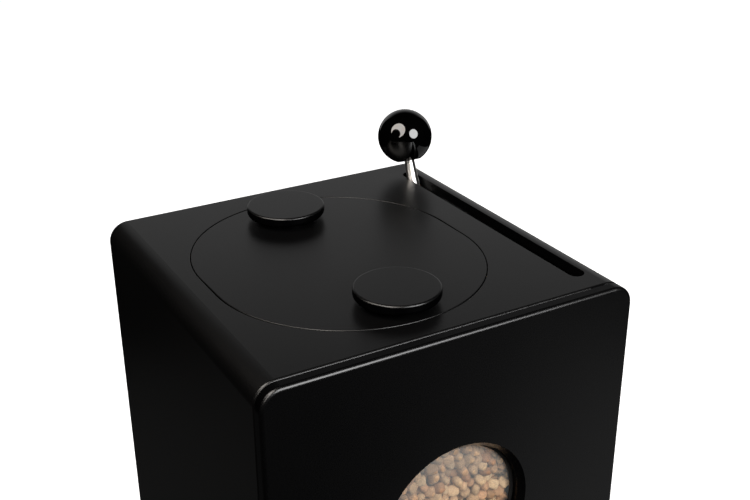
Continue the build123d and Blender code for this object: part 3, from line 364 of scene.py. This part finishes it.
VEIL_LO, VEIL_HI = 0.04, 0.19
ball_lo, ball_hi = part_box("lever_ball")
SLOT_X = (ball_lo.x + ball_hi.x) / 2
pane_lo, pane_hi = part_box("window_pane")
WX = (pane_lo.x + pane_hi.x) / 2 / MM
WZ = (pane_lo.z + pane_hi.z) / 2 / MM
MATS = {
    # the lever slot's walls keep a tenth of the specular: painted shade in the slot
    "case": lacquer("case_lacquer", (0.0006, 0.0006, 0.0007), (0.0011, 0.0011, 0.0012), 0.31, 0.34, mask=slot_wall_shade_mask, mask_spec_factor=0.1),
    "panel": lacquer("panel_lacquer", (0.0003, 0.0003, 0.0004), (0.0007, 0.0007, 0.0008), 0.275, 0.30, mask=panel_mask, mask_spec_factor=0.2),
    "lid": lacquer("lid_lacquer", (0.0006, 0.0006, 0.0007), (0.0011, 0.0011, 0.0012), 0.31, 0.34),
    # the knob's sides and underside keep 3 % of the specular: painted shade
    "knob": lacquer("knob_lacquer", (0.0003, 0.0003, 0.0004), (0.0006, 0.0006, 0.0007), 0.30, 0.33, mask=knob_side_shade_mask, mask_spec_factor=0.03),
    "board": board("inner_board"),
    "gasket": rubber("seal_rubber", (0.0015, 0.0015, 0.0015)),
    "foot": rubber("foot_rubber", (0.015, 0.015, 0.015)),
    "pane": clear_pane("clear_pane"),
    "steel": metal("plain_steel", (0.56, 0.56, 0.57), 0.25, 0.38, (1, 1, 6), 250.0, 0.1),
    "black_screw": metal("black_oxide", (0.05, 0.05, 0.052), 0.35, 0.5, (1, 1, 1), 600.0, 0.2),
    "hopper": plastic("hopper_plastic", (0.02, 0.02, 0.02), (0.03, 0.03, 0.03), 0.45, 0.6),
    "liner": plastic("liner_plastic", (0.010, 0.010, 0.010), (0.016, 0.016, 0.016), 0.45, 0.6),
    "drum": plastic("drum_plastic", (0.62, 0.60, 0.54), (0.74, 0.72, 0.66), 0.4, 0.55),
    "gear": plastic("gear_nylon", (0.55, 0.52, 0.42), (0.68, 0.65, 0.55), 0.35, 0.5),
    "bronze": metal("bush_bronze", (0.50, 0.30, 0.13), 0.35, 0.5, (1, 1, 1), 500.0, 0.3),
    "chrome": turned_metal("stem_steel", (0.86, 0.84, 0.81)),
    "ball": gloss_ball("ball_gloss"),
    "alloy": metal("hub_alloy", (0.60, 0.60, 0.62), 0.3, 0.42, (6, 1, 1), 250.0, 0.15),
    "bowl": metal("bowl_steel", (0.62, 0.62, 0.63), 0.18, 0.28, (1, 1, 14), 160.0, 0.12, 0.4),
}
BY_NODE = {
    "outer_case": "case", "front_panel": "panel", "back_panel": "case", "lid_plate": "lid",
    "lid_knob_front": "knob", "lid_knob_rear": "knob", "rubber_feet": "foot",
    "corner_blocks": "board", "lid_seat": "board", "mech_shelf": "board", "shelf_cleats": "board",
    "window_gasket": "gasket", "lid_gasket": "gasket", "stop_bumpers": "foot", "bowl_ring": "foot",
    "window_pane": "pane", "bay_liner": "liner", "outlet_chute": "liner",
    "dosing_drum": "drum", "sector_gear": "gear", "drive_pinion": "gear",
    "hub_bushes": "bronze", "drum_bushes": "bronze", "shaft_end_bush": "bronze",
    "lever_stem": "chrome", "lever_ball": "ball", "lever_hub": "alloy", "bowl": "bowl",
    "back_panel_screws": "black_screw", "foot_screws": "black_screw", "liner_screws": "black_screw",
    "stem_grub_screw": "black_screw", "pinion_grub_screw": "black_screw",
    "hopper_tank": "hopper", "hopper_funnel": "hopper", "window_retainer": "hopper",
    "lid_collar": "hopper", "drum_housing": "hopper", "housing_end_left": "hopper",
    "housing_end_right": "hopper",
}
for name, o in NODES.items():
    m = MATS[BY_NODE.get(name, "steel")]
    o.data.materials.clear()
    o.data.materials.append(m)


# -------------------------------------------------------------------- kibble
def superball(level, a, b, c, p, seed, rough):
    """One kibble: a rounded, slightly uneven lozenge as (vertices, faces)."""
    bm = bmesh.new()
    bmesh.ops.create_icosphere(bm, subdivisions=level, radius=1.0)
    rng = np.random.default_rng(seed)
    waves = rng.normal(size=(6, 3)) * 2.2
    phase = rng.uniform(0, 6.28, 6)
    for v in bm.verts:
        d = np.array(v.co)
        r = (abs(d[0]) ** p + abs(d[1]) ** p + abs(d[2]) ** p) ** (-1 / p)
        q = d * r * (1 + rough * float(np.mean(np.sin(waves @ d * 1.7 + phase))))
        v.co = Vector((q[0] * a, q[1] * b, q[2] * c))
    verts = np.array([v.co for v in bm.verts])
    faces = np.array([[v.index for v in f.verts] for f in bm.faces])
    bm.free()
    return verts, faces


def relax(pts, radius, clamp, steps=70, seed=1):
    """Pushes points apart until they sit like a loose heap of balls."""
    for k in range(steps):
        clamp(pts)
        d = pts[:, None, :] - pts[None, :, :]
        dist = np.sqrt((d * d).sum(-1)) + np.eye(len(pts))
        over = np.clip(2 * radius - dist, 0, None)
        np.fill_diagonal(over, 0)
        pts += (d / dist[..., None] * over[..., None] * 0.32).sum(1)
    clamp(pts)
    return pts


def rotations(n, rng, flat=None):
    """Random turns; with flat, the thin axis leans towards that direction."""
    out = []
    for _ in range(n):
        z = rng.normal(size=3)
        if flat is not None:
            z = z * 0.75 + np.array(flat)
        z /= np.linalg.norm(z)
        x = rng.normal(size=3)
        x -= z * (x @ z)
        x /= np.linalg.norm(x)
        out.append(np.stack([x, np.cross(z, x), z], 1))
    return out


def heap(name, pts, level, seed, flat=None, size=(5.2, 4.6, 3.5), spread=0.1, mat=None):
    rng = np.random.default_rng(seed)
    kinds = [superball(level, *size, 2.35 + 0.35 * k, seed * 10 + k, 0.10) for k in range(6)]
    V, F, T, base = [], [], [], 0
    turns = rotations(len(pts), rng, flat)
    for i, p in enumerate(pts):
        v, f = kinds[int(rng.integers(6))]
        s = rng.normal(1.0, spread * 0.6, 3).clip(0.82, 1.16)
        V.append((v * s) @ turns[i].T + p)
        F.append(f + base)
        base += len(v)
        t = (float(rng.beta(2.4, 1.6)), float(rng.uniform(0, 1) ** 2), 0.0, 1.0)
        T.append(np.tile(t, (len(v), 1)))
    V, F, T = np.concatenate(V) * MM, np.concatenate(F), np.concatenate(T)
    me = bpy.data.meshes.new(name)
    me.from_pydata(V.tolist(), [], F.tolist())
    me.update()
    att = me.attributes.new("tint", "FLOAT_COLOR", "POINT")
    att.data.foreach_set("color", T.astype(np.float32).ravel())
    me.polygons.foreach_set("use_smooth", [True] * len(me.polygons))
    o = bpy.data.objects.new(name, me)
    scene.collection.objects.link(o)
    me.materials.append(mat)
    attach(o, "case")
    return o


tank_lo, tank_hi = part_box("hopper_tank")
PANE_Y = pane_hi.y / MM
WALL_IN = tank_lo.y / MM + 3.0
KR = 4.45

KIB = kibble_mat("kibble", (0.29, 0.158, 0.078), (0.66, 0.46, 0.27))
rng = np.random.default_rng(7)
n_front = 900
front = np.stack([
    rng.uniform(WX - 78, WX + 78, n_front),
    PANE_Y + KR + rng.uniform(0, 20, n_front),
    rng.uniform(WZ - 76, WZ + 76, n_front),
], 1)


def clamp_front(p):
    p[:, 1] = np.clip(p[:, 1], PANE_Y + KR + 0.15, PANE_Y + KR + 22)
    # inside the retainer and the wall's hole the pieces stay in the round opening
    d = np.hypot(p[:, 0] - WX, p[:, 2] - WZ)
    near = p[:, 1] < WALL_IN + KR
    lim = 65.6 - KR
    k = np.where(near & (d > lim), lim / np.maximum(d, 1e-6), 1.0)
    # pieces far outside the opening go behind the wall instead
    far = near & (d > 72)
    k = np.where(far, 1.0, k)
    p[:, 1] = np.where(far, WALL_IN + KR, p[:, 1])
    p[:, 0] = WX + (p[:, 0] - WX) * k
    p[:, 2] = WZ + (p[:, 2] - WZ) * k
    p[:, 0] = np.clip(p[:, 0], WX - 80, WX + 80)
    p[:, 2] = np.clip(p[:, 2], tank_lo.z / MM + 8, WZ + 80)


front = relax(front, KR, clamp_front, 60)
window_kibble = heap("window_kibble", front, 3, 3, flat=(0.0, 0.55, 0.0), mat=KIB)

# the fill behind and above: a heaped mass with loose pieces on top
FILL_Z = 566.0
xs0, xs1 = tank_lo.x / MM + 5, tank_hi.x / MM - 5
ys0, ys1 = tank_lo.y / MM + 5, tank_hi.y / MM - 5


def fill_mass():
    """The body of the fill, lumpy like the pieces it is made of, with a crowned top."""
    bm = bmesh.new()
    bmesh.ops.create_cube(bm, size=1.0)
    lo = Vector((xs0 + 1, WALL_IN + 21.0, tank_lo.z / MM + 8)) * MM
    hi = Vector((xs1 - 1, ys1 - 1, FILL_Z - 6)) * MM
    for v in bm.verts:
        v.co = Vector([lo[i] + (v.co[i] + 0.5) * (hi[i] - lo[i]) for i in range(3)])
    bmesh.ops.bevel(bm, geom=[e for e in bm.edges if abs(e.verts[0].co.z - e.verts[1].co.z) > 0.05],
                    offset=0.008, segments=3, affect="EDGES")
    bmesh.ops.triangulate(bm, faces=bm.faces)
    me = bpy.data.meshes.new("kibble_fill")
    bm.to_mesh(me)
    bm.free()
    o = bpy.data.objects.new("kibble_fill", me)
    scene.collection.objects.link(o)
    rm = o.modifiers.new("remesh", "REMESH")
    rm.mode = "VOXEL"
    rm.voxel_size = 0.0042
    dg = bpy.context.evaluated_depsgraph_get()
    me2 = bpy.data.meshes.new_from_object(o.evaluated_get(dg))
    o.modifiers.clear()
    o.data = me2
    r2 = np.random.default_rng(11)
    k = r2.normal(size=(8, 3)) * 520.0
    ph = r2.uniform(0, 6.28, 8)
    for v in me2.vertices:
        s = float(np.mean([math.sin(float(np.dot(k[j], v.co)) + ph[j]) for j in range(8)]))
        cx_, cy_ = (lo.x + hi.x) / 2, (lo.y + hi.y) / 2
        top = max(0.0, (v.co.z - (hi.z - 0.01)) / 0.01)
        crown = 0.008 * (1 - min(1.0, math.hypot((v.co.x - cx_) / 0.14, (v.co.y - cy_) / 0.16)))
        v.co += v.normal * (s * 0.0016 - 0.0008) + Vector((0, 0, top * crown))
    me2.polygons.foreach_set("use_smooth", [True] * len(me2.polygons))
    att = me2.attributes.new("tint", "FLOAT_COLOR", "POINT")
    t = np.tile((0.12, 0.3, 0, 1), (len(me2.vertices), 1))
    att.data.foreach_set("color", t.astype(np.float32).ravel())
    me2.materials.clear()
    me2.materials.append(KIB)
    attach(o, "case")
    return o


fill_mass()

rng = np.random.default_rng(21)
n_top = 1500
bed = np.stack([rng.uniform(xs0 + 5, xs1 - 5, n_top), rng.uniform(ys0 + 5, ys1 - 5, n_top),
                rng.uniform(FILL_Z - 6, FILL_Z + 4, n_top)], 1)
mx, my = (xs0 + xs1) / 2, (ys0 + ys1) / 2


def clamp_bed(p):
    p[:, 0] = np.clip(p[:, 0], xs0 + KR, xs1 - KR)
    p[:, 1] = np.clip(p[:, 1], ys0 + KR, ys1 - KR)
    crown = 9 * (1 - np.clip(np.hypot((p[:, 0] - mx) / 140, (p[:, 1] - my) / 160), 0, 1))
    p[:, 2] = np.clip(p[:, 2], FILL_Z - 4 + crown, FILL_Z + 3 + crown)


bed = relax(bed, KR, clamp_bed, 30)
heap("kibble_bed", bed, 2, 5, flat=(0, 0, 0.5), mat=KIB)

# ------------------------------------------------------------------- stage
def quad(name, pts, mat):
    me = bpy.data.meshes.new(name)
    me.from_pydata(pts, [], [tuple(range(len(pts)))])
    o = bpy.data.objects.new(name, me)
    scene.collection.objects.link(o)
    me.materials.append(mat)
    return o


m, nt, out = new_mat("pale_floor")
fb = principled(nt, out, Metallic=0.0)
fb.inputs["Base Color"].default_value = (0.86, 0.86, 0.86, 1)
fb.inputs["Roughness"].default_value = 0.9
fb.inputs["Specular IOR Level"].default_value = 0.1
fb.inputs["Emission Color"].default_value = (1, 1, 1, 1)
fb.inputs["Emission Strength"].default_value = 0.95
floor = quad("floor", [(-14, -14, 0), (14, -14, 0), (14, 14, 0), (-14, 14, 0)], m)
floor.visible_glossy = False
floor.visible_diffuse = False
floor.visible_shadow = False

# a white sweep far behind, seen only by the camera
bm = bmesh.new()
bmesh.ops.create_uvsphere(bm, u_segments=48, v_segments=24, radius=13.5)
me = bpy.data.meshes.new("backdrop")
bm.to_mesh(me)
bm.free()
backdrop = bpy.data.objects.new("backdrop", me)
scene.collection.objects.link(backdrop)
bmat, nt, out = new_mat("backdrop_white")
em = nt.nodes.new("ShaderNodeEmission")
em.inputs["Color"].default_value = (1, 1, 1, 1)
em.inputs["Strength"].default_value = 1.1
nt.links.new(em.outputs[0], out.inputs["Surface"])
me.materials.append(bmat)
for flag in ("visible_glossy", "visible_diffuse", "visible_transmission", "visible_shadow", "visible_volume_scatter"):
    setattr(backdrop, flag, False)

world = bpy.data.worlds.new("studio")
scene.world = world
world.use_nodes = True
wn = world.node_tree
wn.nodes["Background"].inputs["Color"].default_value = (1, 1, 1, 1)
wn.nodes["Background"].inputs["Strength"].default_value = 0.001

TARGET = Vector((CX, CY, 0.56))


def direction(az, el):
    # az from +Y towards +X, el above the horizon
    a, e = math.radians(az), math.radians(el)
    return Vector((math.sin(a) * math.cos(e), math.cos(a) * math.cos(e), math.sin(e)))


def softbox(name, az, el, dist, w, h, radiance, shape="RECTANGLE", target=TARGET, color=(1, 1, 1), diffuse=True, at=None):
    """Area light of a given radiance, aimed at the target, unseen by the camera."""
    d = direction(az, el)
    ld = bpy.data.lights.new(name, "AREA")
    ld.shape = shape
    ld.size = w
    if shape in ("RECTANGLE", "ELLIPSE"):
        ld.size_y = h
    area = w * h * (math.pi / 4 if shape in ("DISK", "ELLIPSE") else 1.0)
    ld.energy = radiance * math.pi * area
    ld.color = color
    o = bpy.data.objects.new(name, ld)
    scene.collection.objects.link(o)
    o.location = target + d * dist if at is None else Vector(at)
    aim = (target - o.location).normalized()
    o.rotation_euler = aim.to_track_quat("-Z", "Y").to_euler()
    o.visible_camera = False
    if not diffuse:
        o.visible_diffuse = False
    return o


def glow_sheet(name, az, dist, half_w, steps, z0, z1, tint=(1.0, 1.0, 1.0)):
    """Upright white sheet, brighter below, that lights the scene but isn't seen by the camera."""
    sm, nt, out = new_mat(name)
    em = nt.nodes.new("ShaderNodeEmission")
    em.inputs["Color"].default_value = (*tint, 1)
    sep = nt.nodes.new("ShaderNodeSeparateXYZ")
    nt.links.new(coords(nt), sep.inputs[0])
    cr = nt.nodes.new("ShaderNodeFloatCurve")
    curve = cr.mapping.curves[0]
    unit = ramp(nt, sep.outputs["Z"], 0.0, 1.0, z0, z1)
    nt.links.new(unit, cr.inputs["Value"])
    pts = [((z - z0) / (z1 - z0), v) for z, v in steps]
    curve.points[0].location = pts[0]
    curve.points[1].location = pts[-1]
    for p in pts[1:-1]:
        curve.points.new(*p)
    cr.mapping.update()
    nt.links.new(cr.outputs["Value"], em.inputs["Strength"])
    nt.links.new(em.outputs[0], out.inputs["Surface"])
    d = direction(az, 0)
    side_v = Vector((d.y, -d.x, 0))
    mid = Vector((CX, CY, 0)) + d * dist
    o = quad(name, [tuple(mid + side_v * half_w * a + Vector((0, 0, b))) for a, b in ((-1, z0), (1, z0), (1, z1), (-1, z1))], sm)
    o.visible_camera = False
    o.visible_shadow = False
    return o


def crescent(name, az, el, dist, r, notch, radiance, tint):
    """Shoot-through umbrella with the dark head of its flash in front of it: a bright crescent."""
    em_mat, nt, out = new_mat(name)
    em = nt.nodes.new("ShaderNodeEmission")
    c = coords(nt)
    nt.links.new(mix_col(nt, noise(nt, c, 1.5, 2.0, 0.5), tint, (1.0, 1.0, 1.0)), em.inputs["Color"])
    em.inputs["Strength"].default_value = radiance
    nt.links.new(em.outputs[0], out.inputs["Surface"])
    d = direction(az, el)
    mid = TARGET + d * dist
    rt = d.cross(Vector((0, 0, 1))).normalized()
    up_v = rt.cross(d).normalized()
    nx, ny, nr = notch
    a0 = math.atan2(ny, nx)
    off = math.hypot(nx, ny)
    # where the notch circle meets the rim, seen from the rim's centre and the notch's
    ca = (off * off + 1 - nr * nr) / (2 * off)
    cb = (off * off + nr * nr - 1) / (2 * off * nr)
    ha, hb = math.acos(ca), math.acos(cb)
    loop = []
    n = 40
    for k in range(n + 1):
        a = a0 + ha + (2 * math.pi - 2 * ha) * k / n
        loop.append((math.cos(a), math.sin(a)))
    inner = []
    for k in range(n + 1):
        a = a0 + math.pi - (math.pi - hb) + (2 * math.pi - 2 * hb) * k / n
        inner.append((nx + nr * math.cos(a), ny + nr * math.sin(a)))
    inner.reverse()
    pts = [tuple(mid + rt * r * x + up_v * r * y) for x, y in loop]
    pin = [tuple(mid + rt * r * x + up_v * r * y) for x, y in inner]
    # strip between the two arcs, from one horn to the other
    verts = pts + pin[::-1]
    m_ = len(pts)
    me = bpy.data.meshes.new(name)
    me.from_pydata(verts, [], [(k, k + 1, m_ + k + 1, m_ + k) for k in range(m_ - 1)])
    o = bpy.data.objects.new(name, me)
    scene.collection.objects.link(o)
    me.materials.append(em_mat)
    o.visible_camera = False
    o.visible_shadow = False
    return o


def glow_sheet(name, az, dist, half_w, steps, z0, z1, tint=(1.0, 1.0, 1.0)):
    """Upright white sheet, brighter below, that lights the scene but isn't seen by the camera."""
    sm, nt, out = new_mat(name)
    em = nt.nodes.new("ShaderNodeEmission")
    em.inputs["Color"].default_value = (*tint, 1)
    sep = nt.nodes.new("ShaderNodeSeparateXYZ")
    nt.links.new(coords(nt), sep.inputs[0])
    cr = nt.nodes.new("ShaderNodeFloatCurve")
    curve = cr.mapping.curves[0]
    unit = ramp(nt, sep.outputs["Z"], 0.0, 1.0, z0, z1)
    nt.links.new(unit, cr.inputs["Value"])
    pts = [((z - z0) / (z1 - z0), v) for z, v in steps]
    curve.points[0].location = pts[0]
    curve.points[1].location = pts[-1]
    for p in pts[1:-1]:
        curve.points.new(*p)
    cr.mapping.update()
    nt.links.new(cr.outputs["Value"], em.inputs["Strength"])
    nt.links.new(em.outputs[0], out.inputs["Surface"])
    d = direction(az, 0)
    side_v = Vector((d.y, -d.x, 0))
    mid = Vector((CX, CY, 0)) + d * dist
    o = quad(name, [tuple(mid + side_v * half_w * a + Vector((0, 0, b))) for a, b in ((-1, z0), (1, z0), (1, z1), (-1, z1))], sm)
    o.visible_camera = False
    o.visible_shadow = False
    return o


# broad white sheet behind the object, opposite the camera, fading upwards
glow_sheet("sheet_back", 30, 4.0, 2.9,
           [(0.1, 0.42), (1.6, 0.40), (2.2, 0.34), (2.7, 0.25), (3.1, 0.14), (4.2, 0.02)], 0.1, 4.2)
# umbrella to the left of the camera with its flash head in front, and a round head by the camera
crescent("umbrella_left", -108, 44, 1.7, 1.0, (0.16, -0.56, 0.69), 8.0, (1.0, 0.86, 0.72))
softbox("round_head", 165, 28, 1.9, 1.3, 1.3, 10.5, "DISK")
# white paper low on the right, and a weaker one low on the left
softbox("paper_right", 104, -44, 1.5, 2.0, 0.9, 0.22, diffuse=False)
softbox("paper_left", -40, -44, 1.8, 1.6, 0.9, 0.025, diffuse=False)

# -------------------------------------------------------------------- camera
F_PX = 1100.07
YAW, PITCH, ROLL = 0.516543, 0.432704, -0.006068
fwd = Vector((math.sin(YAW) * math.cos(PITCH), math.cos(YAW) * math.cos(PITCH), -math.sin(PITCH)))
right0 = Vector((math.cos(YAW), -math.sin(YAW), 0))
up0 = right0.cross(fwd)
right = math.cos(ROLL) * right0 + math.sin(ROLL) * up0
up = -math.sin(ROLL) * right0 + math.cos(ROLL) * up0
cam_data = bpy.data.cameras.new("camera")
cam_data.sensor_width = 36.0
cam_data.lens = 36.0 * F_PX / 750.0
cam_data.clip_start = 0.02
cam_data.clip_end = 60.0
cam = bpy.data.objects.new("camera", cam_data)
scene.collection.objects.link(cam)
eye = Vector((CX - 0.419895, panel_lo.y - 0.604001, TOP + 0.409266))
M = Matrix.Identity(4)
for i in range(3):
    M[i][0], M[i][1], M[i][2], M[i][3] = right[i], up[i], -fwd[i], eye[i]
cam.matrix_world = M
scene.camera = cam

scene.view_settings.view_transform = "Standard"
scene.view_settings.look = "None"
scene.view_settings.exposure = 0.0
scene.view_settings.gamma = 1.0
